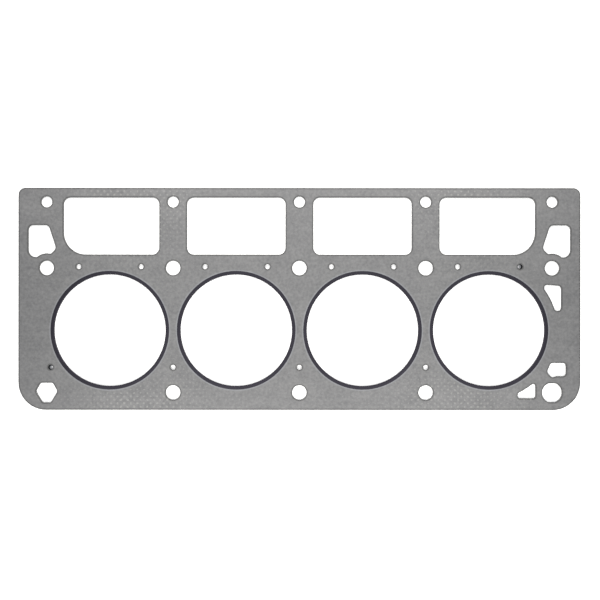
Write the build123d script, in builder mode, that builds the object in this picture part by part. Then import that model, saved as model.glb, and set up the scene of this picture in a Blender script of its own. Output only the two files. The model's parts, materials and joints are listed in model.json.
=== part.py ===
"""Cylinder head gasket for a bank of four cylinders.

A steel core clinched between two soft facings makes one sheet, which is punched to its outline.
A thin steel ring, folded over the edge of the sheet, armours each cylinder bore and holds a wire
that seals combustion.
The origin is under the middle of the sheet, on the surface it lies on. +X runs along the bore
row, and +Y points from the bore row to the pushrod windows. Lengths are in millimetres.
"""
import os

from build123d import *

# Edges of the sheet, measured from the outermost bolt holes, and its corners
end_margin = 24.98
upper_margin = 12.4
lower_margin = 15.4
upper_corner_radius = 6.2
lower_corner_radius = 24.5

# Layers of the sheet, rolled into one before it is punched
core_thickness = 0.3
facing_thickness = 0.55

# Bore row, its pitch left by the bridge between two bores
bore_count = 4
bore_diameter = 98.6
bore_bridge = 13.16

# Bore armour, a thin steel ring folded over the edge of the sheet
armour_thickness = 0.2
armour_flange_width = 3.1
armour_fold = 0.12

# Wire inside each armour ring, pressed flat between its flanges
wire_width = 1.5
wire_clearance = 0.05
sheet_clearance = 0.1

# Head bolt holes, in rows above and below the bores, in columns between and beside them.
# Offsets are measured from the middle of the bore row.
head_bolt_hole_diameter = 12.8
head_bolt_row_offset = 55.1

# Cover bolt holes, one above each column
cover_bolt_hole_diameter = 9.7
cover_bolt_row_offset = 113.6

# Locating holes where the lower bolt row meets the end columns: one round with two flats,
# one with six rounded corners like a shield
dowel_hole_diameter = 17.6
dowel_hole_across_flats = 16.6
shield_hole_top_width = 10.8
shield_hole_side_width = 19.2
shield_hole_bottom_width = 7.2
shield_hole_top = 8.5
shield_hole_side = 1.0
shield_hole_bottom = 8.9
shield_hole_corner_radius = 2.4

# Pushrod windows, one above each bore, between the columns and the two upper bolt rows
window_bridge = 24.66
window_lower_margin = 11.9
window_upper_margin = 3.9
window_corner_radius = 6.0
end_window_trim = 2.6
end_window_sweep_radius = 19.5

# Steam holes, the upper row a little above the upper head bolts
steam_hole_diameter = 4.4
upper_steam_row_rise = 1.2
upper_steam_hole_from_bore_axis = 27.6
lower_steam_row_offset = 32.8
end_steam_hole_from_column = 3.5

# Two steam holes are metered: the core is left in them, with only a small hole off centre
metering_hole_diameter = 1.6
metering_hole_shift = 1.2

# Coolant port at each end, above the head bolt and clear of it by a curved land.
# Rises and drops are measured from the nearest row of head bolts.
end_port_reach = 16.28
end_port_bottom_rise = 9.6
end_port_knuckle_rise = 17.1
end_port_height = 28.3
end_port_top_width = 17.9
end_port_knuckle_width = 24.6
end_port_heel_width = 16.8
end_port_upper_radius = 4.2
end_port_lower_radius = 6.3
end_port_knuckle_radius = 4.0
end_port_land = 6.5
end_port_lip_radius = 1.4

# Two ports bounded by an arc around the last bore
bore_land_width = 11.8
wedge_port_reach = 2.96
wedge_port_width = 19.7
wedge_port_inner_drop = 14.2
wedge_port_outer_drop = 15.8
wedge_port_bottom = 17.4
wedge_port_corner_radius = 2.7
triangle_port_from_column = 14.57
triangle_port_width = 15.7
triangle_port_bottom_rise = 1.05
triangle_port_corner_radius = 2.0

# Port between the last bore and the round locating hole
block_port_reach = 12.38
block_port_bottom_rise = 14.6
block_port_height = 11.7
block_port_top_width = 13.5
block_port_point_width = 16.9
block_port_point_rise = 18.2
block_port_toe_width = 12.1
block_port_toe_drop = 1.4
block_port_heel_width = 8.4
block_port_corner_radius = 2.7

# Sizes that follow from the ones above
sheet_thickness = core_thickness + 2 * facing_thickness
ring_height = sheet_thickness + 2 * armour_thickness
bore_radius = bore_diameter / 2
flange_radius = bore_radius + armour_flange_width
channel_radius = bore_radius + armour_thickness
wire_radius = channel_radius + wire_clearance
sheet_bore_radius = wire_radius + wire_width + sheet_clearance
bore_land_radius = bore_radius + bore_land_width

# Places along the bore row
bore_pitch = bore_diameter + bore_bridge
bores = [(i - (bore_count - 1) / 2) * bore_pitch for i in range(bore_count)]
columns = [(i - bore_count / 2) * bore_pitch for i in range(bore_count + 1)]
last_bore = bores[-1]
last_column = columns[-1]

# Edges of the sheet and of the windows, measured from the middle of the bore row
upper_edge = cover_bolt_row_offset + upper_margin
lower_edge = head_bolt_row_offset + lower_margin
sheet_length = 2 * (last_column + end_margin)
sheet_width = upper_edge + lower_edge
bore_row_y = lower_edge - sheet_width / 2
window_lower_edge = head_bolt_row_offset + window_lower_margin
window_upper_edge = cover_bolt_row_offset + window_upper_margin
window_width = bore_pitch - window_bridge


def row_plane(height):
    """Level plane at a height above the floor, with its origin on the middle of the bore row."""
    return Plane(origin=(0, bore_row_y, height), x_dir=(1, 0, 0), z_dir=(0, 0, 1))


def corners_on_circle(sketch, centre, radius):
    """The corners that a circle left where it cut into an outline."""
    middle = Vector(*centre)
    return [v for v in sketch.vertices() if abs((Vector(v) - middle).length - radius) < 0.001]


def window_outlines():
    """The pushrod windows. Those at the ends are narrower, with one widely swept corner."""
    with BuildSketch() as windows:
        middle = (window_upper_edge + window_lower_edge) / 2
        with Locations([(x, middle) for x in bores[1:-1]]):
            RectangleRounded(
                window_width, window_upper_edge - window_lower_edge, window_corner_radius
            )
        inner = last_bore - window_width / 2
        outer = last_bore + window_width / 2 - end_window_trim
        with BuildLine():
            FilletPolyline(
                (inner, window_lower_edge),
                (inner, window_upper_edge),
                (outer, window_upper_edge),
                (outer, window_lower_edge),
                radius=[window_corner_radius] * 3 + [end_window_sweep_radius],
                close=True,
            )
        mirror(make_face(), about=Plane.YZ)
    return windows.sketch


def end_port_outline():
    """Coolant port beside the last column, mirrored at the first one."""
    outer = last_column + end_port_reach
    bottom = head_bolt_row_offset + end_port_bottom_rise
    top = bottom + end_port_height
    knuckle = head_bolt_row_offset + end_port_knuckle_rise
    bolt = (last_column, head_bolt_row_offset)
    land_radius = head_bolt_hole_diameter / 2 + end_port_land
    with BuildSketch() as port:
        with BuildLine():
            FilletPolyline(
                (outer, top),
                (outer, bottom),
                (outer - end_port_heel_width, bottom),
                (outer - end_port_knuckle_width, knuckle),
                (outer - end_port_top_width, top),
                radius=[
                    end_port_upper_radius,
                    end_port_lower_radius,
                    0,
                    end_port_knuckle_radius,
                    end_port_upper_radius,
                ],
                close=True,
            )
        make_face()
        with Locations(bolt):
            Circle(land_radius, mode=Mode.SUBTRACT)
        fillet(corners_on_circle(port, bolt, land_radius), end_port_lip_radius)
    return port.sketch


def wedge_port_outline():
    """Tapering port between the last bore and the end of the sheet, closed by the bore's land."""
    outer = last_bore + bore_land_radius + wedge_port_reach
    inner = outer - 2 * wedge_port_width
    outer_top = head_bolt_row_offset - wedge_port_outer_drop
    inner_top = outer_top + 2 * (wedge_port_outer_drop - wedge_port_inner_drop)
    with BuildSketch() as port:
        with BuildLine():
            FilletPolyline(
                (inner, wedge_port_bottom),
                (inner, inner_top),
                (outer, outer_top),
                (outer, wedge_port_bottom),
                radius=[0, 0, wedge_port_corner_radius, wedge_port_corner_radius],
                close=True,
            )
        make_face()
        with Locations((last_bore, 0)):
            Circle(bore_land_radius, mode=Mode.SUBTRACT)
        cut = corners_on_circle(port, (last_bore, 0), bore_land_radius)
        fillet(cut, wedge_port_corner_radius)
    return port.sketch


def triangle_port_outline():
    """Small three-sided port below the last bore."""
    outer = last_column - triangle_port_from_column
    inner = outer - triangle_port_width
    bottom = triangle_port_bottom_rise - bore_land_radius
    with BuildSketch() as port:
        with BuildLine():
            FilletPolyline(
                (inner, 0),
                (outer, 0),
                (outer, bottom),
                (inner, bottom),
                radius=[0, 0, triangle_port_corner_radius, triangle_port_corner_radius],
                close=True,
            )
        make_face()
        with Locations((last_bore, 0)):
            Circle(bore_land_radius, mode=Mode.SUBTRACT)
        cut = corners_on_circle(port, (last_bore, 0), bore_land_radius)
        fillet(cut, triangle_port_corner_radius)
    return port.sketch


def block_port_outline():
    """Port above the round locating hole, pointed towards the bore and stepped below."""
    outer = last_column + block_port_reach
    bottom = block_port_bottom_rise - head_bolt_row_offset
    top = bottom + block_port_height
    point = block_port_point_rise - head_bolt_row_offset
    with BuildSketch() as port:
        with BuildLine():
            FilletPolyline(
                (outer, top),
                (outer, bottom),
                (outer - block_port_heel_width, bottom),
                (outer - block_port_toe_width, bottom - block_port_toe_drop),
                (outer - block_port_point_width, point),
                (outer - block_port_top_width, top),
                radius=block_port_corner_radius,
                close=True,
            )
        make_face()
    return port.sketch


def locating_hole_outlines():
    """Round hole with two flats at the last column, and the shield-shaped one at the first."""
    with BuildSketch() as holes:
        with Locations((last_column, -head_bolt_row_offset)):
            Circle(dowel_hole_diameter / 2)
            Rectangle(dowel_hole_diameter, dowel_hole_across_flats, mode=Mode.INTERSECT)
        middle = columns[0]
        top = -head_bolt_row_offset + shield_hole_top
        side = -head_bolt_row_offset + shield_hole_side
        bottom = -head_bolt_row_offset - shield_hole_bottom
        with BuildLine():
            FilletPolyline(
                (middle - shield_hole_top_width / 2, top),
                (middle + shield_hole_top_width / 2, top),
                (middle + shield_hole_side_width / 2, side),
                (middle + shield_hole_bottom_width / 2, bottom),
                (middle - shield_hole_bottom_width / 2, bottom),
                (middle - shield_hole_side_width / 2, side),
                radius=shield_hole_corner_radius,
                close=True,
            )
        make_face()
    return holes.sketch


# Places of the round holes, measured from the middle of the bore row
upper_bolt_places = [(x, head_bolt_row_offset) for x in columns]
lower_bolt_places = [(x, -head_bolt_row_offset) for x in columns[1:-1]]
cover_bolt_places = [(x, cover_bolt_row_offset) for x in columns]
upper_steam_places = [
    (x + side * upper_steam_hole_from_bore_axis, head_bolt_row_offset + upper_steam_row_rise)
    for x in bores
    for side in (-1, 1)
]
lower_steam_places = [(x, -lower_steam_row_offset) for x in columns[1:-1]]
end_steam_x = columns[0] + end_steam_hole_from_column
open_steam_places = upper_steam_places[:-1] + lower_steam_places
metered_places = [upper_steam_places[-1], (end_steam_x, -lower_steam_row_offset)]
metering_places = [
    (x - metering_hole_shift if x > 0 else x + metering_hole_shift, y) for x, y in metered_places
]


def punched_outline():
    """Outline of the sheet, with every hole but the two metered ones."""
    with BuildSketch() as outline:
        with Locations((0, -bore_row_y)):
            Rectangle(sheet_length, sheet_width)
        fillet(outline.vertices().group_by(Axis.Y)[-1], upper_corner_radius)
        fillet(outline.vertices().group_by(Axis.Y)[0], lower_corner_radius)
        with Locations([(x, 0) for x in bores]):
            Circle(sheet_bore_radius, mode=Mode.SUBTRACT)
        with Locations(upper_bolt_places + lower_bolt_places):
            Circle(head_bolt_hole_diameter / 2, mode=Mode.SUBTRACT)
        with Locations(cover_bolt_places):
            Circle(cover_bolt_hole_diameter / 2, mode=Mode.SUBTRACT)
        with Locations(open_steam_places):
            Circle(steam_hole_diameter / 2, mode=Mode.SUBTRACT)
        add(locating_hole_outlines(), mode=Mode.SUBTRACT)
        add(window_outlines(), mode=Mode.SUBTRACT)
        add(wedge_port_outline(), mode=Mode.SUBTRACT)
        add(triangle_port_outline(), mode=Mode.SUBTRACT)
        add(block_port_outline(), mode=Mode.SUBTRACT)
        end_port = end_port_outline()
        add(end_port, mode=Mode.SUBTRACT)
        mirror(end_port, about=Plane.YZ, mode=Mode.SUBTRACT)
    return outline.sketch


def export_node(node, label):
    """Label one finished piece and write it to its own file."""
    node.part.label = label
    export_step(node.part, f"parts/{label}.step")


os.makedirs("parts", exist_ok=True)
sheet_bottom = armour_thickness
sheet_top = sheet_bottom + sheet_thickness

# Laminated sheet, cut down to its core in the two metered steam holes
with BuildPart() as laminated_sheet:
    with BuildSketch(row_plane(sheet_bottom)):
        add(punched_outline())
    extrude(amount=sheet_thickness)
    for face_level, depth in ((sheet_bottom, facing_thickness), (sheet_top, -facing_thickness)):
        with BuildSketch(row_plane(face_level)):
            with Locations(metered_places):
                Circle(steam_hole_diameter / 2)
        extrude(amount=depth, mode=Mode.SUBTRACT)
    with BuildSketch(row_plane(sheet_bottom)):
        with Locations(metering_places):
            Circle(metering_hole_diameter / 2)
    extrude(amount=sheet_thickness, mode=Mode.SUBTRACT)
export_node(laminated_sheet, "laminated_sheet")

for number, x in enumerate(bores, start=1):
    section_plane = Plane(origin=(x, bore_row_y, 0), x_dir=(1, 0, 0), z_dir=(0, -1, 0))
    bore_axis = Axis((x, bore_row_y, 0), (0, 0, 1))

    # Armour ring, a U on its side that opens away from the bore
    with BuildPart() as bore_armour:
        with BuildSketch(section_plane):
            with Locations((bore_radius, 0)):
                skin = Rectangle(
                    flange_radius - bore_radius, ring_height, align=(Align.MIN, Align.MIN)
                )
            chamfer(skin.vertices().group_by(Axis.X)[0], armour_fold)
            with Locations((channel_radius, armour_thickness)):
                Rectangle(
                    flange_radius - channel_radius,
                    sheet_thickness,
                    align=(Align.MIN, Align.MIN),
                    mode=Mode.SUBTRACT,
                )
        revolve(axis=bore_axis)
    export_node(bore_armour, f"bore_armour_{number}")

    # Wire, as high as the sheet beside it
    with BuildPart() as fire_wire:
        with BuildSketch(section_plane):
            with Locations((wire_radius, armour_thickness)):
                Rectangle(wire_width, sheet_thickness, align=(Align.MIN, Align.MIN))
        revolve(axis=bore_axis)
    export_node(fire_wire, f"fire_wire_{number}")
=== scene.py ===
"""Cylinder head gasket: facings, core, tang marks and bore armour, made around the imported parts.

The file is laid out as an add-on with one operator for each group of pieces. Lengths are in
metres. The origin is under the middle of the sheet, +X runs along the bore row and +Y points
from the bore row to the pushrod windows.
"""
import json
import math

import bmesh
import bpy
from bpy.props import FloatProperty, FloatVectorProperty, IntProperty, PointerProperty
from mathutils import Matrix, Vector

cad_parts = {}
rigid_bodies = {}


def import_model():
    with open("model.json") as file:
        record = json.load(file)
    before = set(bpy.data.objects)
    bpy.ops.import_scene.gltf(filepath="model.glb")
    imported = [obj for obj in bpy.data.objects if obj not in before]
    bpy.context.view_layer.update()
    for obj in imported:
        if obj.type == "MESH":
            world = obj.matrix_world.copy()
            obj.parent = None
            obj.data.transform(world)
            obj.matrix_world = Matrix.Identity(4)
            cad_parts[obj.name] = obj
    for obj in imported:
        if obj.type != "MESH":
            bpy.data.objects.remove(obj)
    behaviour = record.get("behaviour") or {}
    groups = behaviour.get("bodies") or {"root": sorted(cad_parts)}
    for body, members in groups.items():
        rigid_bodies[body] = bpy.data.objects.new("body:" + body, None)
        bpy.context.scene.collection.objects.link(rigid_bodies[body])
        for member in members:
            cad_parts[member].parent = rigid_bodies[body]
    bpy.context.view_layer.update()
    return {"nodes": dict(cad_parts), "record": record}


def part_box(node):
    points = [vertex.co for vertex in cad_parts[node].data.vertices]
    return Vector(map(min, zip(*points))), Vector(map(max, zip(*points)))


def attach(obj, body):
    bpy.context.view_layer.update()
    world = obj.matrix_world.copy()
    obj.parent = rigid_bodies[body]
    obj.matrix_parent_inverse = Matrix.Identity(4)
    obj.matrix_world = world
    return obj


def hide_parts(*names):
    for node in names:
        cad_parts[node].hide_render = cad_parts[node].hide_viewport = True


bl_info = {
    "name": "Cylinder Head Gasket",
    "version": (1, 0, 0),
    "blender": (4, 5, 0),
    "location": "3D View > Sidebar > Gasket",
    "description": "Makes the facings, core, tang marks and bore armour of a cylinder head gasket",
    "category": "Object",
}

for leftover in list(bpy.data.objects):
    bpy.data.objects.remove(leftover, do_unlink=True)
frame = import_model()

MM = 0.001
BODY = "root"
SHEET = "laminated_sheet"
ARMOURS = sorted(name for name in frame["nodes"] if name.startswith("bore_armour_"))
WIRES = sorted(name for name in frame["nodes"] if name.startswith("fire_wire_"))


def flat_levels(node_name):
    """Heights of a flat node's faces, from the lowest up."""
    return sorted({round(v.co.z, 6) for v in frame["nodes"][node_name].data.vertices})


SHEET_BOTTOM, CORE_BOTTOM, CORE_TOP, SHEET_TOP = flat_levels(SHEET)
SHEET_LOW, SHEET_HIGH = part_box(SHEET)
SHEET_LENGTH = SHEET_HIGH.x - SHEET_LOW.x
SHEET_WIDTH = SHEET_HIGH.y - SHEET_LOW.y
RING_BOXES = [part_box(name) for name in ARMOURS]
RING_HEIGHT = RING_BOXES[0][1].z
FLANGE_RADIUS = (RING_BOXES[0][1].y - RING_BOXES[0][0].y) / 2
BORE_CENTRES = [(low + high) / 2 for low, high in RING_BOXES]
BORE_PITCH = BORE_CENTRES[1].x - BORE_CENTRES[0].x
BORE_ROW_Y = BORE_CENTRES[0].y
BORE_RADIUS = next(
    mount["dims"]["r_mm"] * MM
    for mount in frame["record"]["mounts"]
    if mount["name"] == "cylinder_bore_1"
)
WIRE_LOW, WIRE_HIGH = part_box(WIRES[0])
WIRE_OUTER_RADIUS = (WIRE_HIGH.y - WIRE_LOW.y) / 2

# Tolerances
SAME_POINT = 0.001 * MM
SAME_LEVEL = 0.002 * MM
SAME_PLACE = 1 * MM
SHARPEST_CORNER = 0.5
SHARP_EDGE = math.radians(50)
SHARP_FOLD = math.radians(40)

# Rows of a facing's rolled edge: share of its width, share of its roll, and painted shade
ROLLED_EDGE = (
    (0.0, 1.0, 1.0),
    (0.08, 0.45, 0.7),
    (0.22, 0.1, 0.65),
    (0.5, 0.0, 0.65),
    (0.75, 0.0, 0.4),
    (1.0, 0.0, 0.0),
)

# Land around a bore, and its rows past the flange: share of its width, of its depth, and painted
# highlight
LAND_PAST_WIRE = 0.6 * MM
LAND_UNDER_FLANGE = 0.45 * MM
LAND_PAST_FLANGE = 0.05 * MM
PRESSED_LAND = ((0.35, 0.45, 1.0), (0.75, 0.08, 0.7), (1.0, 0.0, 0.0))

# Section of the armour
FLANGE_STEP = 0.5 * MM
FOLD_STEPS = 6
INNER_FOLD_STEPS = 3

# Painted shadow on the core beside a metering hole, on the side away from the sheet's middle
LIT_SHIFT = 0.9 * MM
SHADOW_START = 1.5 * MM
SHADOW_FULL = 1.9 * MM
SHADOW_END = 4 * MM

# Tang marks: form, clearances, and how their painted highlight and size change over the sheet
MARK_SIDES = 10
MARK_TIP_SHARE = 0.45
MARK_ROOT_SHARE = 0.4
LEAST_MARK = (0.75, 0.65, 0.7)
MOST_MARK = (1.2, 1.0, 1.0)
RAY_START = 1 * MM
RAY_LENGTH = 1.2 * MM
EDGE_LIMIT = 0.3
RING_CLEARANCE = 2 * MM
MIDDLE_HIGHLIGHT = 0.7
CLOUD_HIGHLIGHT = 0.45
PLAIN_SIZE = 0.55
CLOUD_SIZE = 0.2
HIGHLIGHT_GROWTH = 0.5

# Pressed fibre: the share of each pattern in its colour and in its relief
BLOTCH_SHARE = 0.3
STREAK_SHARE = 0.25
FLECK_SHARE = 0.75
PORE_SHARE = 0.35
DARKEST_MOTTLE = 0.575
LIGHTEST_MOTTLE = 1.075
PORE_RELIEF = 0.8
STREAK_RELIEF = 0.2

# Finishes, with painted shade on the cut edges and the core and a painted highlight by the armour
EDGE_SHADE_COLOUR = (0.028, 0.028, 0.028)
EDGE_SHADE_SHARE = 0.8
LAND_HIGHLIGHT_COLOUR = (0.3, 0.315, 0.35)
LAND_HIGHLIGHT_SHARE = 0.3
TIP_SHADE = 0.7
CORE_DARK = (0.3, 0.3, 0.31)
CORE_BRIGHT = (0.56, 0.56, 0.57)
CORE_PAINTED_SHADOW = (0.035, 0.035, 0.04)
STEEL_BRIGHTER = 1.3
WIRE_DARK = (0.28, 0.28, 0.3)
WIRE_BRIGHT = (0.6, 0.6, 0.62)
FLOOR_SHADE = 0.99
WHITE = (1.0, 1.0, 1.0, 1.0)

# Floor and camera
FLOOR_HALF = 3.0
FLOOR_LEVEL = -0.2 * MM
CLIP_START = 10 * MM

# Sockets of a Mix node that share their names
MIX_FACTOR, MIX_FIRST, MIX_SECOND, MIX_RESULT = 0, 6, 7, 2


class FacingSettings(bpy.types.PropertyGroup):
    """Soft facings and the core between them."""

    edge_roll: FloatProperty(
        name="Edge roll", description="Height that a punched edge is rolled over",
        default=0.12 * MM, unit="LENGTH",
    )
    # Width of the rolled edge and of the painted shade along it
    edge_width: FloatProperty(
        name="Edge width", description="Width of the rolled and darkened edge",
        default=1.4 * MM, unit="LENGTH",
    )
    core_stand: FloatProperty(
        name="Core stand", description="How far the core stands out of the cut facings",
        default=0.03 * MM, unit="LENGTH",
    )
    bite_depth: FloatProperty(
        name="Bite depth", description="Depth that the armour presses the facing down",
        default=0.05 * MM, unit="LENGTH",
    )
    bite_width: FloatProperty(
        name="Bite width", description="Width of the pressed land beside the armour",
        default=1.3 * MM, unit="LENGTH",
    )
    fibre: FloatVectorProperty(
        name="Fibre", description="Colour of the pressed fibre", subtype="COLOR",
        default=(0.187, 0.1867, 0.191), min=0, max=1,
    )
    fibre_dark: FloatVectorProperty(
        name="Dark fibre", description="Colour in the pores between the fibres", subtype="COLOR",
        default=(0.12, 0.1207, 0.1263), min=0, max=1,
    )


class TangSettings(bpy.types.PropertyGroup):
    """Marks that the core's tangs leave on both facings."""

    pitch: FloatProperty(
        name="Pitch", description="Distance between marks along a row",
        default=5.85 * MM, unit="LENGTH",
    )
    row_spacing: FloatProperty(
        name="Row spacing", description="Distance between rows, each shifted by half a pitch",
        default=3.02 * MM, unit="LENGTH",
    )
    row_shift: FloatProperty(
        name="Row shift", description="Distance of a row from the sheet's middle",
        default=1.43 * MM, unit="LENGTH",
    )
    radius: FloatProperty(
        name="Radius", description="Radius of a mark at its foot", default=1.2 * MM, unit="LENGTH",
    )
    height: FloatProperty(
        name="Height", description="Height of a mark over the facing",
        default=0.05 * MM, unit="LENGTH",
    )
    scatter: FloatProperty(
        name="Scatter", description="How far a mark strays from its place",
        default=0.14 * MM, unit="LENGTH",
    )
    seed: IntProperty(name="Seed", description="Seed of the scatter", default=7)
    tip: FloatVectorProperty(
        name="Tip", description="Colour of the fibre over a tang", subtype="COLOR",
        default=(0.199, 0.199, 0.201), min=0, max=1,
    )
    # Painted highlight on the tangs: its colour, and where it is strongest
    highlight_tip: FloatVectorProperty(
        name="Bright tip", description="Colour where a tang is rubbed bright", subtype="COLOR",
        default=(0.224, 0.224, 0.222), min=0, max=1,
    )
    bright_place: FloatProperty(
        name="Bright place",
        description="Distance from the sheet's middle where tangs are rubbed most",
        default=158 * MM, unit="LENGTH",
    )
    bright_reach: FloatProperty(
        name="Bright reach", description="Distance over which the rubbed tangs fade out",
        default=92 * MM, unit="LENGTH",
    )


class ArmourSettings(bpy.types.PropertyGroup):
    """Folded steel rings around the bores."""

    thickness: FloatProperty(
        name="Thickness", description="Thickness of the armour", default=0.2 * MM, unit="LENGTH",
    )
    fold_radius: FloatProperty(
        name="Fold radius", description="Outer radius of the fold at the bore",
        default=0.3 * MM, unit="LENGTH",
    )
    segments: IntProperty(
        name="Segments", description="Steps around a ring", default=192, min=24,
    )
    steel: FloatVectorProperty(
        name="Steel", description="Colour of the heat-darkened steel", subtype="COLOR",
        default=(0.035, 0.033, 0.044), min=0, max=1,
    )


class StageSettings(bpy.types.PropertyGroup):
    """Floor, light and camera."""

    floor_colour: FloatVectorProperty(
        name="Floor", description="Colour of the floor", subtype="COLOR",
        default=(0.95, 0.95, 0.95), min=0, max=1,
    )
    floor_glow: FloatProperty(
        name="Floor glow", description="Light that the floor gives off, as a light table does",
        default=0.35,
    )
    sky_colour: FloatVectorProperty(
        name="Sky", description="Colour of the surroundings", subtype="COLOR",
        default=(0.88, 0.93, 1.0), min=0, max=1,
    )
    sky_strength: FloatProperty(
        name="Sky strength", description="Brightness of the surroundings", default=0.33,
    )
    lamp_colour: FloatVectorProperty(
        name="Lamps", description="Colour of the four soft lamps", subtype="COLOR",
        default=(1.0, 0.98, 0.93), min=0, max=1,
    )
    lamp_power: FloatProperty(
        name="Lamp power", description="Power of each soft lamp", default=1.02, unit="POWER",
    )
    lamp_size: FloatProperty(
        name="Lamp size", description="Width of a soft lamp", default=160 * MM, unit="LENGTH",
    )
    lamp_height: FloatProperty(
        name="Lamp height", description="Height of the lamps", default=190 * MM, unit="LENGTH",
    )
    lamp_reach: FloatProperty(
        name="Lamp reach",
        description="Distance of the lamps before and behind the sheet's middle",
        default=265 * MM, unit="LENGTH",
    )
    lamp_spread: FloatProperty(
        name="Lamp spread", description="Distance of the lamps to each side of their middle",
        default=152 * MM, unit="LENGTH",
    )
    lamp_shift: FloatProperty(
        name="Lamp shift",
        description="Distance of the lamps' middle along the sheet from its own",
        default=8 * MM, unit="LENGTH",
    )
    camera_height: FloatProperty(
        name="Camera height", description="Height of the camera over the sheet",
        default=450 * MM, unit="LENGTH",
    )
    camera_x: FloatProperty(
        name="Camera X", description="Place of the camera along the sheet",
        default=0.54 * MM, unit="LENGTH",
    )
    camera_y: FloatProperty(
        name="Camera Y", description="Place of the camera across the sheet",
        default=-0.92 * MM, unit="LENGTH",
    )
    camera_turn: FloatProperty(
        name="Camera turn", description="Turn of the camera about its line of sight",
        default=0.00068, unit="ROTATION",
    )
    view_width: FloatProperty(
        name="View width", description="Width that the camera sees at the sheet's upper face",
        default=530.6 * MM, unit="LENGTH",
    )


class GasketSettings(bpy.types.PropertyGroup):
    """All settings of the gasket."""

    facing: PointerProperty(type=FacingSettings)
    tangs: PointerProperty(type=TangSettings)
    armour: PointerProperty(type=ArmourSettings)
    stage: PointerProperty(type=StageSettings)


# Nodes


def connect(tree, made, inputs):
    """Set or link inputs of a node."""
    for socket, value in inputs.items():
        if isinstance(value, bpy.types.NodeSocket):
            tree.links.new(value, made.inputs[socket])
        else:
            made.inputs[socket].default_value = value


def node(tree, kind, inputs=None, **settings):
    """Add a node, set its properties and connect its inputs."""
    made = tree.nodes.new(kind)
    for name, value in settings.items():
        setattr(made, name, value)
    connect(tree, made, inputs or {})
    return made


def maths(tree, operation, *values):
    """Result of a Math node on sockets or numbers."""
    return node(tree, "ShaderNodeMath", dict(enumerate(values)), operation=operation).outputs[0]


def vector_maths(tree, operation, *values, output="Vector"):
    """Result of a Vector Math node on sockets or vectors."""
    made = node(tree, "ShaderNodeVectorMath", dict(enumerate(values)), operation=operation)
    return made.outputs[output]


def product(tree, first, *others):
    """Values times each other."""
    for value in others:
        first = maths(tree, "MULTIPLY", first, value)
    return first


def weighted(tree, first, first_share, second, second_share):
    """Sum of two values, each times its share."""
    return maths(tree, "MULTIPLY_ADD", first, first_share, product(tree, second, second_share))


def combine(tree, **axes):
    """Vector of the X, Y and Z that are given, and 0 for the rest."""
    return node(tree, "ShaderNodeCombineXYZ", axes).outputs[0]


def split(tree, vector):
    """X, Y and Z of a vector, by name."""
    return node(tree, "ShaderNodeSeparateXYZ", {0: vector}).outputs


def group_tree(name, tree_type, inputs, outputs):
    """Node group, the sockets that its inputs come from, and its output node.

    An input is (name, kind, default), and an output is (name, kind).
    """
    tree = bpy.data.node_groups.new(name, tree_type)
    for label, kind, default in inputs:
        socket = tree.interface.new_socket(label, in_out="INPUT", socket_type="NodeSocket" + kind)
        if default is not None:
            socket.default_value = default
    for label, kind in outputs:
        tree.interface.new_socket(label, in_out="OUTPUT", socket_type="NodeSocket" + kind)
    return tree, tree.nodes.new("NodeGroupInput").outputs, tree.nodes.new("NodeGroupOutput")


def nearest_bore(tree, point):
    """Vector from the axis of the nearest bore to a point, in a shader or geometry tree."""
    first_x = BORE_CENTRES[0].x
    place = split(tree, point)
    steps = maths(tree, "DIVIDE", maths(tree, "SUBTRACT", place["X"], first_x), BORE_PITCH)
    number = maths(tree, "MAXIMUM", maths(tree, "ROUND", steps), 0)
    number = maths(tree, "MINIMUM", number, len(BORE_CENTRES) - 1)
    axis_x = maths(tree, "MULTIPLY_ADD", number, BORE_PITCH, first_x)
    return combine(
        tree,
        X=maths(tree, "SUBTRACT", place["X"], axis_x),
        Y=maths(tree, "SUBTRACT", place["Y"], BORE_ROW_Y),
        Z=place["Z"],
    )


def off_axis(tree, local):
    """Distance from the axis of a bore, for a vector from it."""
    level = vector_maths(tree, "MULTIPLY", local, (1.0, 1.0, 0.0))
    return vector_maths(tree, "LENGTH", level, output="Value")


def noise(tree, vector, scale, detail=2.0, roughness=0.5):
    """Factor of a noise texture."""
    values = {"Vector": vector, "Scale": scale, "Detail": detail, "Roughness": roughness}
    return node(tree, "ShaderNodeTexNoise", values).outputs["Fac"]


def ramp(tree, value, low=0.0, high=1.0, least=0.0, most=1.0):
    """A value from low to high, spread from the least to the most."""
    values = {
        "Value": value, "From Min": low, "From Max": high, "To Min": least, "To Max": most,
    }
    return node(tree, "ShaderNodeMapRange", values, clamp=True).outputs["Result"]


def mix_colour(tree, factor, first, second):
    """Colour between two, each a socket or a plain colour."""
    ends = [
        colour if isinstance(colour, bpy.types.NodeSocket) else (*colour, 1.0)
        for colour in (first, second)
    ]
    values = {MIX_FACTOR: factor, MIX_FIRST: ends[0], MIX_SECOND: ends[1]}
    return node(tree, "ShaderNodeMix", values, data_type="RGBA").outputs[MIX_RESULT]


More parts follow.
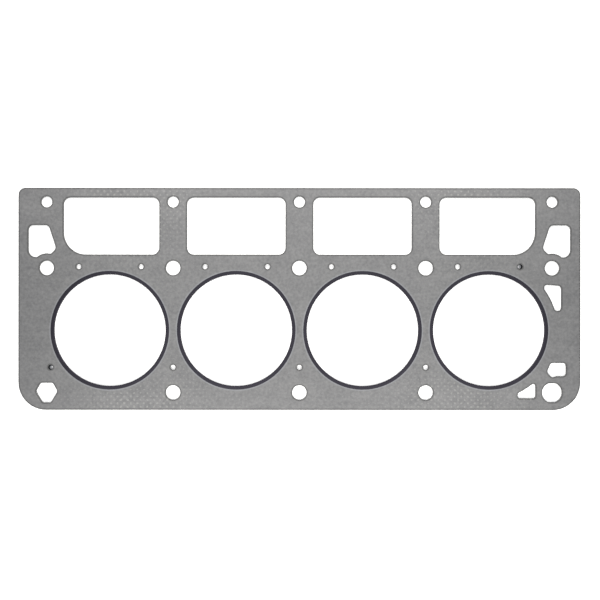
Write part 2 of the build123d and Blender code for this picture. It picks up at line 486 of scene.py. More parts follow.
def fibre_group():
    """Shared effect: pressed fibre, with pores, flecks, soft blotches and streaks along X."""
    tree, given, result = group_tree(
        "Pressed fibre",
        "ShaderNodeTree",
        [
            ("Vector", "Vector", None),
            ("Pore scale", "Float", 1500.0),
            ("Fleck scale", "Float", 430.0),
            ("Blotch scale", "Float", 45.0),
            ("Streak scale", "Float", 260.0),
            ("Streak stretch", "Vector", (0.12, 1.0, 1.0)),
        ],
        [("Mottle", "Float"), ("Height", "Float")],
    )
    pores = noise(tree, given["Vector"], given["Pore scale"], detail=3.0, roughness=0.65)
    flecks = noise(tree, given["Vector"], given["Fleck scale"])
    blotches = noise(tree, given["Vector"], given["Blotch scale"], detail=3.0)
    stretched = vector_maths(tree, "MULTIPLY", given["Vector"], given["Streak stretch"])
    streaks = noise(tree, stretched, given["Streak scale"])
    coarse = weighted(tree, blotches, BLOTCH_SHARE, streaks, STREAK_SHARE)
    fine = weighted(tree, flecks, FLECK_SHARE, pores, PORE_SHARE)
    mottle = ramp(tree, maths(tree, "ADD", coarse, fine), DARKEST_MOTTLE, LIGHTEST_MOTTLE)
    height = weighted(tree, pores, PORE_RELIEF, streaks, STREAK_RELIEF)
    connect(tree, result, {"Mottle": mottle, "Height": height})


def ring_grain_group():
    """Shared effect: grain that runs around the nearest bore, as in rolled and folded steel."""
    tree, given, result = group_tree(
        "Ring grain",
        "ShaderNodeTree",
        [
            ("Vector", "Vector", None),
            ("Streak scale", "Float", 2600.0),
            ("Streak stretch", "Vector", (0.02, 0.02, 0.02)),
            ("Cloud scale", "Float", 60.0),
        ],
        [("Grain", "Float"), ("Cloud", "Float")],
    )
    local = nearest_bore(tree, given["Vector"])
    along = vector_maths(tree, "MULTIPLY", local, given["Streak stretch"])
    across = combine(tree, X=off_axis(tree, local), Z=split(tree, local)["Z"])
    streaked = vector_maths(tree, "ADD", along, across)
    grain = noise(tree, streaked, given["Streak scale"], detail=3.0)
    cloud = noise(tree, given["Vector"], given["Cloud scale"], detail=3.0)
    connect(tree, result, {"Grain": grain, "Cloud": cloud})


# Materials


def new_material(name, roughness, metallic=0.0):
    """Material with a Principled shader, its tree, its shader and its object coordinates."""
    material = bpy.data.materials.new(name)
    material.use_nodes = True
    tree = material.node_tree
    tree.nodes.clear()
    shader = node(tree, "ShaderNodeBsdfPrincipled", {"Roughness": roughness, "Metallic": metallic})
    node(tree, "ShaderNodeOutputMaterial", {"Surface": shader.outputs[0]})
    place = tree.nodes.new("ShaderNodeTexCoord").outputs["Object"]
    return material, tree, shader, place


def effect(tree, group, **inputs):
    """A shared effect placed in a material, with its values. Underscores stand for spaces."""
    values = {name.replace("_", " "): value for name, value in inputs.items()}
    return node(tree, "ShaderNodeGroup", values, node_tree=bpy.data.node_groups[group]).outputs


def bump(tree, height, distance, strength):
    """Normal of a bumped surface, from its height."""
    values = {"Height": height, "Distance": distance, "Strength": strength}
    return node(tree, "ShaderNodeBump", values).outputs[0]


def attribute(tree, name):
    """A number kept on the mesh."""
    return node(tree, "ShaderNodeAttribute", attribute_name=name).outputs["Fac"]


def times(factor, colour):
    """A colour with each channel times a factor."""
    return tuple(factor * channel for channel in colour)


def facing_material(settings):
    """Grey pressed fibre, with painted shade along its cut edges and a painted highlight beside
    the armour.
    """
    material, tree, shader, place = new_material("pressed_fibre_facing", roughness=0.75)
    fibre = effect(tree, "Pressed fibre", Vector=place)
    colour = mix_colour(tree, fibre["Mottle"], settings.fibre_dark, settings.fibre)
    # Painted shade along the cut edges and their walls
    edge = product(tree, attribute(tree, "cut_edge"), EDGE_SHADE_SHARE)
    colour = mix_colour(tree, edge, colour, EDGE_SHADE_COLOUR)
    # Painted highlight on the pressed land beside the armour
    land_highlight = product(tree, attribute(tree, "pressed"), LAND_HIGHLIGHT_SHARE)
    colour = mix_colour(tree, land_highlight, colour, LAND_HIGHLIGHT_COLOUR)
    normal = bump(tree, fibre["Height"], distance=0.03 * MM, strength=0.6)
    connect(tree, shader, {"Base Color": colour, "Normal": normal, "Specular IOR Level": 0.3})
    return material


def tang_material(settings):
    """Fibre over the tip of a steel tang, with a painted highlight where the mesh says so."""
    material, tree, shader, place = new_material("rubbed_tang_mark", roughness=0.5, metallic=0.25)
    fibre = effect(tree, "Pressed fibre", Vector=place, Pore_scale=2400.0)
    colour = mix_colour(tree, fibre["Mottle"], times(TIP_SHADE, settings.tip), settings.tip)
    # Painted highlight, as strong as the mesh's value says
    colour = mix_colour(tree, attribute(tree, "rubbed"), colour, settings.highlight_tip)
    normal = bump(tree, fibre["Height"], distance=0.015 * MM, strength=0.5)
    connect(tree, shader, {"Base Color": colour, "Normal": normal})
    return material


def core_material(steam_holes):
    """Cold-rolled steel sheet, with a painted shadow in the steam holes beside their metering
    holes.
    """
    material, tree, shader, place = new_material("core_steel", roughness=0.35, metallic=1.0)
    rolled = effect(tree, "Pressed fibre", Vector=place, Streak_scale=900.0, Pore_scale=3000.0)
    colour = mix_colour(tree, rolled["Mottle"], CORE_DARK, CORE_BRIGHT)
    # Painted shadow on the outer side of each metered steam hole
    distance = SHADOW_END
    for x, y in steam_holes:
        lit_middle = (x - math.copysign(LIT_SHIFT, x), y, CORE_TOP)
        away = vector_maths(tree, "DISTANCE", place, lit_middle, output="Value")
        distance = maths(tree, "MINIMUM", away, distance)
    near = maths(tree, "LESS_THAN", distance, SHADOW_END)
    painted_shadow = product(tree, ramp(tree, distance, SHADOW_START, SHADOW_FULL), near)
    colour = mix_colour(tree, painted_shadow, colour, CORE_PAINTED_SHADOW)
    roughness = ramp(tree, rolled["Mottle"], least=0.25, most=0.5)
    normal = bump(tree, rolled["Height"], distance=0.01 * MM, strength=0.4)
    connect(tree, shader, {"Base Color": colour, "Roughness": roughness, "Normal": normal})
    return material


def armour_material(settings):
    """Heat-darkened stainless steel with a faint grain around the bore."""
    material, tree, shader, place = new_material(
        "heat_darkened_armour", roughness=0.42, metallic=0.85
    )
    grain = effect(tree, "Ring grain", Vector=place)
    lighter = times(STEEL_BRIGHTER, settings.steel)
    cloud = ramp(tree, grain["Cloud"], low=0.35, high=0.7)
    colour = mix_colour(tree, cloud, settings.steel, lighter)
    colour = mix_colour(tree, ramp(tree, grain["Grain"], low=0.3, high=0.8), colour, lighter)
    roughness = ramp(tree, grain["Grain"], least=0.56, most=0.96)
    normal = bump(tree, grain["Grain"], distance=0.008 * MM, strength=0.5)
    connect(tree, shader, {"Base Color": colour, "Roughness": roughness, "Normal": normal})
    return material


def wire_material():
    """Drawn and flattened steel wire."""
    material, tree, shader, place = new_material("drawn_wire_steel", roughness=0.35, metallic=1.0)
    grain = effect(tree, "Ring grain", Vector=place, Streak_scale=5200.0)
    colour = mix_colour(tree, grain["Grain"], WIRE_DARK, WIRE_BRIGHT)
    roughness = ramp(tree, grain["Grain"], least=0.154, most=0.538)
    normal = bump(tree, grain["Grain"], distance=0.01 * MM, strength=0.5)
    connect(tree, shader, {"Base Color": colour, "Roughness": roughness, "Normal": normal})
    return material


def floor_material(settings):
    """Plain pale floor that gives off a little light."""
    material, tree, shader, place = new_material("pale_floor", roughness=0.9)
    darker = times(FLOOR_SHADE, settings.floor_colour)
    colour = mix_colour(tree, noise(tree, place, scale=3.0), darker, settings.floor_colour)
    glow = {"Emission Color": WHITE, "Emission Strength": settings.floor_glow}
    connect(tree, shader, {"Base Color": colour, **glow})
    return material


# Meshes


def add_piece(name, mesh, material, replaced):
    """Put a finished mesh in the scene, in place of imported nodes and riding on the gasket."""
    piece = bpy.data.objects.new(name, mesh)
    bpy.context.scene.collection.objects.link(piece)
    mesh.materials.clear()
    mesh.materials.append(material)
    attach(piece, BODY)
    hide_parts(*replaced)


def merged_sheet():
    """The sheet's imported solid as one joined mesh."""
    merged = bmesh.new()
    merged.from_mesh(frame["nodes"][SHEET].data)
    bmesh.ops.remove_doubles(merged, verts=merged.verts, dist=SAME_POINT)
    return merged


def is_flat(face, level):
    """Whether all corners of a face lie at a level."""
    return all(abs(corner.co.z - level) < SAME_LEVEL for corner in face.verts)


def cap_loops(merged, level):
    """Closed outlines of the flat faces at a level, each with the material on its left."""
    following = {}
    for face in merged.faces:
        if not is_flat(face, level):
            continue
        for corner in face.loops:
            if is_flat(corner.link_loop_radial_next.face, level):
                continue
            start, end = corner.vert, corner.link_loop_next.vert
            if face.normal.z < 0:
                start, end = end, start
            following[start] = end
    outlines = []
    while following:
        outline, here = [], next(iter(following))
        while here in following:
            outline.append(here.co.xy.copy())
            here = following.pop(here)
        outlines.append(outline)
    return outlines


def area(outline):
    """Signed area inside an outline."""
    pairs = zip(outline, outline[1:] + outline[:1])
    return sum(a.cross(b) for a, b in pairs) / 2


def centre(outline):
    """Middle of an outline's points."""
    return sum(outline, Vector((0, 0))) / len(outline)


def is_bore(outline):
    """Whether an outline is one of the bore openings."""
    middle = centre(outline)
    near = min((middle - bore.xy).length for bore in BORE_CENTRES)
    return near < SAME_PLACE and area(outline) < 0


def inward_steps(outline):
    """How far each point moves for an offset of one metre into the material."""
    steps = []
    for before, here, after in zip(
        outline[-1:] + outline[:-1], outline, outline[1:] + outline[:1]
    ):
        arriving = (here - before).normalized()
        leaving = (after - here).normalized()
        along = (arriving + leaving).normalized()
        steps.append(Vector((-along.y, along.x)) / max(along.dot(leaving), SHARPEST_CORNER))
    return steps


def add_row(mesh, outline, steps, offset, height):
    """Ring of vertices along an outline, moved into the material."""
    return [mesh.verts.new((*(p + s * offset), height)) for p, s in zip(outline, steps)]


def bridge_rows(mesh, lower, upper):
    """Faces between two rows of vertices."""
    for i, vertex in enumerate(lower):
        j = (i + 1) % len(lower)
        mesh.faces.new((vertex, lower[j], upper[j], upper[i])).smooth = True


def cap_rows(mesh, rows):
    """Flat triangles over all rows at one level."""
    edges = []
    for row in rows:
        for i, vertex in enumerate(row):
            edges.append(mesh.edges.get((vertex, row[(i + 1) % len(row)])))
    bmesh.ops.triangle_fill(mesh, use_beauty=True, use_dissolve=False, edges=edges)


def plate_mesh(name, outlines, profile_of, inner_level):
    """Closed plate with a shaped edge along each outline.

    profile_of gives the rows of an outline, each as (offset, height, painted shade, painted
    highlight).
    """
    plate = bmesh.new()
    # Painted shade along the edges and painted highlight on the pressed land, kept on the vertices
    marks = {key: plate.verts.layers.float.new(key) for key in ("cut_edge", "pressed")}
    feet, tops = [], []
    for outline in outlines:
        steps = inward_steps(outline)
        profile = profile_of(outline)
        row = add_row(plate, outline, steps, profile[0][0], inner_level)
        for vertex in row:
            vertex[marks["cut_edge"]] = 1.0
        feet.append(row)
        for offset, height, cut_edge, pressed in profile:
            upper = add_row(plate, outline, steps, offset, height)
            for vertex in upper:
                vertex[marks["cut_edge"]] = cut_edge
                vertex[marks["pressed"]] = pressed
            bridge_rows(plate, row, upper)
            row = upper
        tops.append(row)
    cap_rows(plate, feet)
    cap_rows(plate, tops)
    bmesh.ops.recalc_face_normals(plate, faces=plate.faces)
    mesh = bpy.data.meshes.new(name)
    plate.to_mesh(mesh)
    plate.free()
    mesh.shade_smooth()
    mesh.set_sharp_from_angle(angle=SHARP_EDGE)
    return mesh


def metering_outlines(merged):
    """The small holes left in the core, and the middles of the steam holes that they meter."""
    outlines = cap_loops(merged, CORE_TOP)
    holes = [outline for outline in outlines if area(outline) < 0]
    middles = [centre(outline) for outline in outlines if area(outline) > 0]
    return holes, middles


def core_profile(_outline):
    """The one row of the core's edge, which stands straight."""
    return [(0.0, CORE_TOP, 1.0, 0.0)]


def facing_profile(settings, outer, inner):
    """Function that gives the rows of an outline, for a facing between two heights."""
    side = math.copysign(1.0, outer - inner)

    def pressed_rows(opening):
        """Land around a bore, pressed down under the armour's flange and beside it, with a painted
        highlight.
        """
        depth, width = side * settings.bite_depth, settings.bite_width
        past_flange = [
            (FLANGE_RADIUS + share * width - opening, outer - drop * depth, 0.0, land_highlight)
            for share, drop, land_highlight in PRESSED_LAND
        ]
        return [
            (0.0, outer, 1.0, 0.0),
            (WIRE_OUTER_RADIUS + LAND_PAST_WIRE - opening, outer, 0.0, 0.0),
            (FLANGE_RADIUS - LAND_UNDER_FLANGE - opening, outer - depth, 0.0, 0.5),
            (FLANGE_RADIUS + LAND_PAST_FLANGE - opening, outer - depth, 0.0, 1.0),
            *past_flange,
        ]

    def rolled_rows():
        """Edge rolled over by the punch, which leaves the core standing out of it, with painted
        shade along it.
        """
        roll, width, stand = side * settings.edge_roll, settings.edge_width, settings.core_stand
        return [
            (stand + share * width, outer - drop * roll, shade, 0.0)
            for share, drop, shade in ROLLED_EDGE
        ]

    def rows(outline):
        """Rows of one outline, by what it goes around."""
        if is_bore(outline):
            return pressed_rows(math.sqrt(abs(area(outline)) / math.pi))
        return rolled_rows()

    return rows


# Geometry trees


def run_tree(name, start, tree, inputs):
    """Run a geometry tree on a mesh once, and return the result as a plain mesh."""
    carrier = bpy.data.objects.new(name + "_carrier", start)
    bpy.context.scene.collection.objects.link(carrier)
    modifier = carrier.modifiers.new(tree.name, "NODES")
    modifier.node_group = tree
    for socket in tree.interface.items_tree:
        if socket.in_out == "INPUT" and socket.name in inputs:
            modifier[socket.identifier] = inputs[socket.name]
    evaluated = carrier.evaluated_get(bpy.context.evaluated_depsgraph_get())
    mesh = bpy.data.meshes.new_from_object(evaluated)
    mesh.name = name
    carrier.modifiers.remove(modifier)
    bpy.data.objects.remove(carrier, do_unlink=True)
    return mesh


def random_vector(tree, least, most, seed):
    """Random vector for each point, from a fixed seed."""
    values = {"Min": least, "Max": most, "Seed": seed}
    made = node(tree, "FunctionNodeRandomValue", values, data_type="FLOAT_VECTOR")
    return made.outputs["Value"]


def finish_tree(tree, result, geometry, material):
    """End a tree with real geometry that has its material."""
    real = node(tree, "GeometryNodeRealizeInstances", {"Geometry": geometry}).outputs[0]
    dressed = node(tree, "GeometryNodeSetMaterial", {"Geometry": real, "Material": material})
    connect(tree, result, {"Geometry": dressed.outputs[0]})


def tang_lattice(tree, given, place):
    """Points in rows over the whole sheet, where every other row moves by half a pitch."""
    columns = maths(tree, "CEIL", maths(tree, "DIVIDE", given["Length"], given["Pitch"]))
    rows = maths(tree, "CEIL", maths(tree, "DIVIDE", given["Width"], given["Row spacing"]))
    grid = node(
        tree,
        "GeometryNodeMeshGrid",
        {
            "Size X": product(tree, columns, given["Pitch"]),
            "Size Y": product(tree, rows, given["Row spacing"]),
            "Vertices X": maths(tree, "ADD", columns, 1),
            "Vertices Y": maths(tree, "ADD", rows, 1),
        },
    ).outputs["Mesh"]
    points = node(tree, "GeometryNodeMeshToPoints", {"Mesh": grid}).outputs[0]
    row = maths(tree, "DIVIDE", place["Y"], given["Row spacing"])
    row = maths(tree, "ROUND", maths(tree, "ADD", row, maths(tree, "DIVIDE", rows, 2)))
    odd = maths(tree, "FLOORED_MODULO", row, 2)
    half_pitch = maths(tree, "DIVIDE", given["Pitch"], 2)
    shift = combine(
        tree, X=product(tree, odd, half_pitch), Y=given["Row shift"], Z=given["Level"]
    )
    stray = product(tree, given["Scatter"], -1)
    least = combine(tree, X=stray, Y=stray)
    most = combine(tree, X=given["Scatter"], Y=given["Scatter"])
    move = vector_maths(tree, "ADD", shift, random_vector(tree, least, most, given["Seed"]))
    return node(tree, "GeometryNodeSetPosition", {"Geometry": points, "Offset": move}).outputs[0]


def clear_flat(tree, given, position):
    """Whether a ray meets the flat of the facing, clear of its edges and of the rings."""
    above = combine(tree, Z=product(tree, given["Side"], RAY_START))
    # The painted edge shade tells where the edges are
    cut_edge = node(
        tree, "GeometryNodeInputNamedAttribute", {"Name": "cut_edge"}, data_type="FLOAT"
    )
    hit = node(
        tree,
        "GeometryNodeRaycast",
        {
            "Target Geometry": given["Geometry"],
            "Attribute": cut_edge.outputs["Attribute"],
            "Source Position": vector_maths(tree, "ADD", position, above),
            "Ray Direction": combine(tree, Z=product(tree, given["Side"], -1)),
            "Ray Length": RAY_LENGTH,
        },
        data_type="FLOAT",
    ).outputs
    off_level = maths(tree, "SUBTRACT", split(tree, hit["Hit Position"])["Z"], given["Level"])
    flat = maths(tree, "LESS_THAN", maths(tree, "ABSOLUTE", off_level), SAME_LEVEL)
    clear = maths(tree, "LESS_THAN", hit["Attribute"], EDGE_LIMIT)
    from_axis = off_axis(tree, nearest_bore(tree, position))
    off_ring = maths(tree, "GREATER_THAN", from_axis, FLANGE_RADIUS + RING_CLEARANCE)
    return product(tree, flat, clear, off_ring, hit["Is Hit"])


def tang_mark(tree, given):
    """One mark: a low cone with a flat tip, sunk in the facing by its root."""
    cone = node(
        tree,
        "GeometryNodeMeshCone",
        {
            "Vertices": MARK_SIDES,
            "Radius Top": product(tree, given["Radius"], MARK_TIP_SHARE),
            "Radius Bottom": given["Radius"],
            "Depth": product(tree, given["Height"], 1 + MARK_ROOT_SHARE),
        },
        fill_type="NGON",
    ).outputs["Mesh"]
    root = combine(tree, Z=product(tree, given["Height"], -MARK_ROOT_SHARE))
    sunk = node(tree, "GeometryNodeTransform", {"Geometry": cone, "Translation": root})
    return sunk.outputs[0]


def tang_highlight_and_size(tree, given, position, place):
    """How strong a mark's painted highlight is, most at the bright places and long edges, and its
    size.
    """
    clouds = noise(tree, position, given["Fade scale"], detail=1.0)
    cloud = ramp(tree, clouds, low=0.3, high=0.65)
    along = maths(tree, "SUBTRACT", maths(tree, "ABSOLUTE", place["X"]), given["Bright place"])
    band = ramp(tree, maths(tree, "ABSOLUTE", along), given["Bright reach"], 0.0)
    across = maths(tree, "DIVIDE", maths(tree, "ABSOLUTE", place["Y"]), given["Width"])
    margin = ramp(tree, across, low=0.3, high=0.45, least=MIDDLE_HIGHLIGHT)
    patchy = maths(tree, "MULTIPLY_ADD", cloud, CLOUD_HIGHLIGHT, 1 - CLOUD_HIGHLIGHT)
    rubbed = product(tree, band, margin, patchy)
    size = maths(tree, "MULTIPLY_ADD", cloud, CLOUD_SIZE, PLAIN_SIZE)
    return rubbed, maths(tree, "MULTIPLY_ADD", rubbed, HIGHLIGHT_GROWTH, size)


def tang_tree():
    """Tree: rows of small raised marks on the flat of a facing, clear of its edges."""
    tree, given, result = group_tree(
        "Tang marks",
        "GeometryNodeTree",
        [
            ("Geometry", "Geometry", None),
            ("Length", "Float", 500 * MM),
            ("Width", "Float", 200 * MM),
            ("Level", "Float", 0.0),
            ("Side", "Float", 1.0),
            ("Pitch", "Float", 6 * MM),
            ("Row spacing", "Float", 3 * MM),
            ("Row shift", "Float", 0.0),
            ("Radius", "Float", 1 * MM),
            ("Height", "Float", 0.05 * MM),
            ("Scatter", "Float", 0.1 * MM),
            ("Fade scale", "Float", 24.0),
            ("Bright place", "Float", 150 * MM),
            ("Bright reach", "Float", 80 * MM),
            ("Seed", "Int", 7),
            ("Material", "Material", None),
        ],
        [("Geometry", "Geometry")],
    )
    position = tree.nodes.new("GeometryNodeInputPosition").outputs[0]
    place = split(tree, position)
    rubbed, growth = tang_highlight_and_size(tree, given, position, place)
    # The painted highlight is kept on each mark's point
    points = node(
        tree,
        "GeometryNodeStoreNamedAttribute",
        {"Geometry": tang_lattice(tree, given, place), "Name": "rubbed", "Value": rubbed},
        data_type="FLOAT",
        domain="POINT",
    ).outputs[0]
    turn = random_vector(tree, (0.0, 0.0, 0.0), (0.0, 0.0, math.tau), given["Seed"])
    flip = combine(tree, X=maths(tree, "ARCCOSINE", given["Side"]))
    size = random_vector(tree, LEAST_MARK, MOST_MARK, given["Seed"])
    grown = node(tree, "ShaderNodeVectorMath", {0: size, "Scale": growth}, operation="SCALE")
    marks = node(
        tree,
        "GeometryNodeInstanceOnPoints",
        {
            "Points": points,
            "Selection": clear_flat(tree, given, position),
            "Instance": tang_mark(tree, given),
            "Rotation": vector_maths(tree, "ADD", flip, turn),
            "Scale": grown.outputs[0],
        },
    ).outputs[0]
    finish_tree(tree, result, marks, given["Material"])


def sweep_tree():
    """Tree: a section, drawn as (distance from the bore's wall, height), swept around a bore."""
    tree, given, result = group_tree(
        "Ring sweep",
        "GeometryNodeTree",
        [
            ("Geometry", "Geometry", None),
            ("Bore radius", "Float", 50 * MM),
            ("Segments", "Int", 192),
            ("Centre", "Vector", None),
            ("Material", "Material", None),
        ],
        [("Geometry", "Geometry")],
    )
    # The sweep turns a section upside down, so it is mirrored first
    mirrored = node(
        tree, "GeometryNodeTransform", {"Geometry": given["Geometry"], "Scale": (1.0, -1.0, 1.0)}
    ).outputs[0]
    section = node(tree, "GeometryNodeMeshToCurve", {"Mesh": mirrored}).outputs[0]
    circle = node(
        tree,
        "GeometryNodeCurvePrimitiveCircle",
        {"Resolution": given["Segments"], "Radius": given["Bore radius"]},
    ).outputs["Curve"]
    upright = node(
        tree, "GeometryNodeSetCurveNormal", {"Curve": circle}, mode="Z_UP"
    ).outputs[0]
    ring = node(
        tree, "GeometryNodeCurveToMesh", {"Curve": upright, "Profile Curve": section}
    ).outputs[0]
    placed = node(
        tree, "GeometryNodeTransform", {"Geometry": ring, "Translation": given["Centre"]}
    ).outputs[0]
    finish_tree(tree, result, placed, given["Material"])


def arc(middle, radius, start, end, steps):
    """Points along an arc between two angles in degrees."""
    angles = [math.radians(start + (end - start) * i / steps) for i in range(steps + 1)]
    return [(middle[0] + radius * math.cos(a), middle[1] + radius * math.sin(a)) for a in angles]


def armour_section(settings, dip):
    """U-section of the armour: a fold at the bore and two flanges, which dip into the facings."""
    skin, fold = settings.thickness, settings.fold_radius
    width = FLANGE_RADIUS - BORE_RADIUS
    ledge = WIRE_OUTER_RADIUS - BORE_RADIUS
    bend = (fold, RING_HEIGHT - fold)
    rim = (width - skin / 2, RING_HEIGHT - dip - skin / 2)
    upper = arc(bend, fold, 180, 90, FOLD_STEPS)
    upper += [(ledge, RING_HEIGHT), (ledge + FLANGE_STEP, RING_HEIGHT - dip)]
    upper += arc(rim, skin / 2, 90, -90, FOLD_STEPS)
    upper += [(ledge + FLANGE_STEP, RING_HEIGHT - dip - skin), (ledge, RING_HEIGHT - skin)]
    upper += arc(bend, fold - skin, 90, 180, INNER_FOLD_STEPS)
    lower = [(x, RING_HEIGHT - z) for x, z in reversed(upper)]
    return upper + lower


def face_outwards(mesh):
    """Turn the faces of a closed mesh outwards."""
    closed = bmesh.new()
    closed.from_mesh(mesh)
    bmesh.ops.recalc_face_normals(closed, faces=closed.faces)
    closed.to_mesh(mesh)
    closed.free()


def section_mesh(name, points):
    """Closed outline of a section as edges."""
    mesh = bpy.data.meshes.new(name)
    edges = [(i, (i + 1) % len(points)) for i in range(len(points))]
    mesh.from_pydata([(x, z, 0.0) for x, z in points], edges, [])
    return mesh


# Operators


class GASKET_OT_effects(bpy.types.Operator):
    """Build the shared shader effects and the geometry trees"""

    bl_idname = "gasket.effects"
    bl_label = "Effects"

    def execute(self, context):
        fibre_group()
        ring_grain_group()
        tang_tree()
        sweep_tree()
        return {"FINISHED"}


class GASKET_OT_core(bpy.types.Operator):
    """Make the steel core, with its two metering holes"""

    bl_idname = "gasket.core"
    bl_label = "Core"

    def execute(self, context):
        merged = merged_sheet()
        holes, middles = metering_outlines(merged)
        outlines = [
            outline
            for outline in cap_loops(merged, SHEET_TOP)
            if min((centre(outline) - middle).length for middle in middles) > SAME_PLACE
        ]
        merged.free()
        mesh = plate_mesh("core_sheet", outlines + holes, core_profile, CORE_BOTTOM)
        add_piece("core_sheet", mesh, core_material(middles), [SHEET])
        return {"FINISHED"}


class GASKET_OT_facings(bpy.types.Operator):
    """Make the two soft facings on the core"""

    bl_idname = "gasket.facings"
    bl_label = "Facings"

    def execute(self, context):
        settings = context.scene.gasket.facing
        material = facing_material(settings)
        merged = merged_sheet()
        sides = (("upper", SHEET_TOP, CORE_TOP), ("lower", SHEET_BOTTOM, CORE_BOTTOM))
        for side, outer, inner in sides:
            rows = facing_profile(settings, outer, inner)
            mesh = plate_mesh(f"{side}_facing", cap_loops(merged, outer), rows, inner)
            add_piece(f"{side}_facing", mesh, material, [SHEET])
        merged.free()
        return {"FINISHED"}


class GASKET_OT_tangs(bpy.types.Operator):
    """Mark both facings where the core's tangs are clinched into them"""

    bl_idname = "gasket.tangs"
    bl_label = "Tang marks"

    def execute(self, context):
        settings = context.scene.gasket.tangs
        material = tang_material(settings)
        sides = (("upper", SHEET_TOP, 1.0), ("lower", SHEET_BOTTOM, -1.0))
        for name, level, side in sides:
            mesh = run_tree(
                f"{name}_tang_marks",
                bpy.data.objects[f"{name}_facing"].data.copy(),
                bpy.data.node_groups["Tang marks"],
                {
                    "Length": SHEET_LENGTH,
                    "Width": SHEET_WIDTH,
                    "Level": level,
                    "Side": side,
                    "Pitch": settings.pitch,
                    "Row spacing": settings.row_spacing,
                    "Row shift": settings.row_shift,
                    "Radius": settings.radius,
                    "Height": settings.height,
                    "Scatter": settings.scatter,
                    "Bright place": settings.bright_place,
                    "Bright reach": settings.bright_reach,
                    "Seed": settings.seed,
                    "Material": material,
                },
            )
            if not mesh.polygons:
                raise RuntimeError(f"no tang marks on the {name} facing")
            add_piece(f"{name}_tang_marks", mesh, material, [SHEET])
        return {"FINISHED"}


class GASKET_OT_armour(bpy.types.Operator):
    """Make the folded armour ring of each bore"""

    bl_idname = "gasket.armour"
    bl_label = "Bore armour"

    def execute(self, context):
        settings = context.scene.gasket.armour
        material = armour_material(settings)
        dip = context.scene.gasket.facing.bite_depth
        for name, bore in zip(ARMOURS, BORE_CENTRES):
            mesh = run_tree(
                f"{name}_ring",
                section_mesh("armour_section", armour_section(settings, dip)),
                bpy.data.node_groups["Ring sweep"],
                {
                    "Bore radius": BORE_RADIUS,
                    "Segments": settings.segments,
                    "Centre": (bore.x, bore.y, 0.0),
                    "Material": material,
                },
            )
            if not mesh.polygons:
                raise RuntimeError(f"{name} has no faces")
            face_outwards(mesh)
            mesh.shade_smooth()
            mesh.set_sharp_from_angle(angle=SHARP_FOLD)
            add_piece(f"{name}_ring", mesh, material, [name])
        return {"FINISHED"}


class GASKET_OT_wires(bpy.types.Operator):
    """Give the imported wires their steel"""

    bl_idname = "gasket.wires"
    bl_label = "Fire wires"

    def execute(self, context):
        material = wire_material()
        for name in WIRES:
            for slot in frame["nodes"][name].material_slots:
                slot.material = material
        return {"FINISHED"}


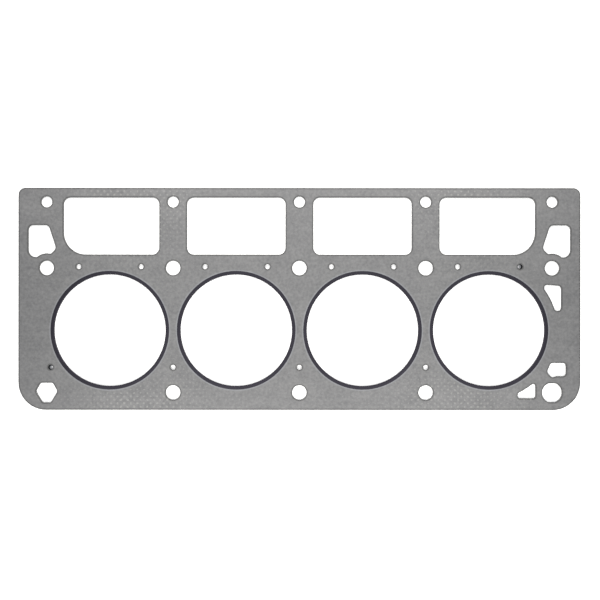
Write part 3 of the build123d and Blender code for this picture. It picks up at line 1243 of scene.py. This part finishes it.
class GASKET_OT_stage(bpy.types.Operator):
    """Set the floor, the light and the camera straight above the gasket"""

    bl_idname = "gasket.stage"
    bl_label = "Stage"

    def execute(self, context):
        settings = context.scene.gasket.stage
        self.add_floor(context, settings)
        self.add_light(context, settings)
        self.add_camera(context, settings)
        return {"FINISHED"}

    def add_floor(self, context, settings):
        """Wide floor just under the gasket."""
        mesh = bpy.data.meshes.new("floor")
        signs = ((-1, -1), (1, -1), (1, 1), (-1, 1))
        corners = [(x * FLOOR_HALF, y * FLOOR_HALF, FLOOR_LEVEL) for x, y in signs]
        mesh.from_pydata(corners, [], [(0, 1, 2, 3)])
        mesh.materials.append(floor_material(settings))
        floor = bpy.data.objects.new("floor", mesh)
        context.scene.collection.objects.link(floor)

    def add_light(self, context, settings):
        """Pale sky and four soft lamps that the camera can't see."""
        sky = bpy.data.worlds.new("studio")
        sky.use_nodes = True
        backdrop = sky.node_tree.nodes["Background"]
        backdrop.inputs["Color"].default_value = (*settings.sky_colour, 1.0)
        backdrop.inputs["Strength"].default_value = settings.sky_strength
        context.scene.world = sky
        for side, y in (("front", -settings.lamp_reach), ("back", settings.lamp_reach)):
            for end, spread in (("left", -settings.lamp_spread), ("right", settings.lamp_spread)):
                name = f"{side}_{end}_lamp"
                light = bpy.data.lights.new(name, "AREA")
                light.energy = settings.lamp_power
                light.color = settings.lamp_colour
                light.size = settings.lamp_size
                lamp = bpy.data.objects.new(name, light)
                lamp.location = (settings.lamp_shift + spread, y, settings.lamp_height)
                aim = Vector((0.0, -y, -settings.lamp_height))
                lamp.rotation_euler = aim.to_track_quat("-Z", "Y").to_euler()
                lamp.visible_camera = False
                context.scene.collection.objects.link(lamp)
        context.scene.view_settings.view_transform = "Standard"

    def add_camera(self, context, settings):
        """Camera straight above, with a lens for the width that it sees."""
        view = bpy.data.cameras.new("camera")
        view.lens = view.sensor_width * settings.camera_height / settings.view_width
        view.clip_start = CLIP_START
        camera = bpy.data.objects.new("camera", view)
        height = SHEET_TOP + settings.camera_height
        camera.location = (settings.camera_x, settings.camera_y, height)
        camera.rotation_euler = (0.0, 0.0, settings.camera_turn)
        context.scene.collection.objects.link(camera)
        context.scene.camera = camera


class GASKET_PT_panel(bpy.types.Panel):
    """Sizes and colours of the gasket, and its operators"""

    bl_idname = "GASKET_PT_panel"
    bl_label = "Cylinder Head Gasket"
    bl_space_type = "VIEW_3D"
    bl_region_type = "UI"
    bl_category = "Gasket"

    def draw(self, context):
        settings = context.scene.gasket
        for title, group in (
            ("Facings", settings.facing),
            ("Tang marks", settings.tangs),
            ("Bore armour", settings.armour),
            ("Stage", settings.stage),
        ):
            box = self.layout.box()
            box.label(text=title)
            for name in group.__annotations__:
                box.prop(group, name)
        for operator in OPERATORS:
            self.layout.operator(operator.bl_idname)


OPERATORS = (
    GASKET_OT_effects,
    GASKET_OT_core,
    GASKET_OT_facings,
    GASKET_OT_tangs,
    GASKET_OT_armour,
    GASKET_OT_wires,
    GASKET_OT_stage,
)
SETTINGS = (FacingSettings, TangSettings, ArmourSettings, StageSettings, GasketSettings)
CLASSES = (*SETTINGS, *OPERATORS, GASKET_PT_panel)


def register():
    for cls in CLASSES:
        bpy.utils.register_class(cls)
    bpy.types.Scene.gasket = PointerProperty(type=GasketSettings)


def unregister():
    del bpy.types.Scene.gasket
    for cls in reversed(CLASSES):
        bpy.utils.unregister_class(cls)


def main():
    """Register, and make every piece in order."""
    register()
    bpy.ops.gasket.effects()
    bpy.ops.gasket.core()
    bpy.ops.gasket.facings()
    bpy.ops.gasket.tangs()
    bpy.ops.gasket.armour()
    bpy.ops.gasket.wires()
    bpy.ops.gasket.stage()


if __name__ == "__main__":
    main()
